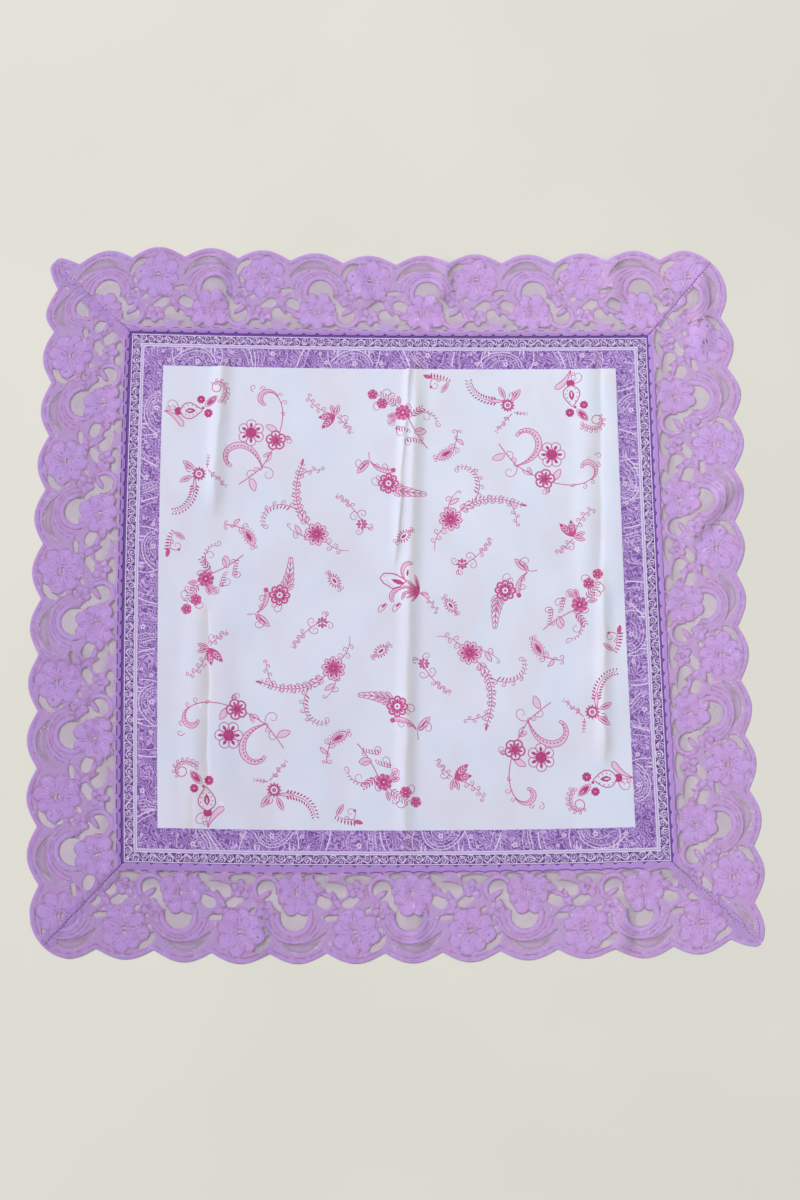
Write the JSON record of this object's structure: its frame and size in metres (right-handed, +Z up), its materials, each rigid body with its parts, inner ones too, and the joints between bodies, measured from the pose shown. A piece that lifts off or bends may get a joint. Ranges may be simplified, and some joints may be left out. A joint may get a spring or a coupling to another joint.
{
  "type": "lace-edged square scarf",
  "caption": "Square printed cotton scarf laid flat, its border printed in purple, with a wide scalloped lace edging mitred at the corners.",
  "frame": {"origin": "middle of the laid scarf's box, on the surface that it lies on", "axes": "+Z up from the surface, +Y towards the back edge, +X to the right seen from above with the back edge away"},
  "size_m": [0.704, 0.706, 0.0042],
  "materials": {
    "printed_cotton": "plain-weave cotton, white with pink sprigs and a purple paisley border",
    "lilac_lace": "knitted lilac lace, soft sheen"
  },
  "bodies": {
    "root": {"cotton_square": "printed_cotton", "lace_front": "lilac_lace", "lace_right": "lilac_lace", "lace_back": "lilac_lace", "lace_left": "lilac_lace"}
  },
  "joints": []
}
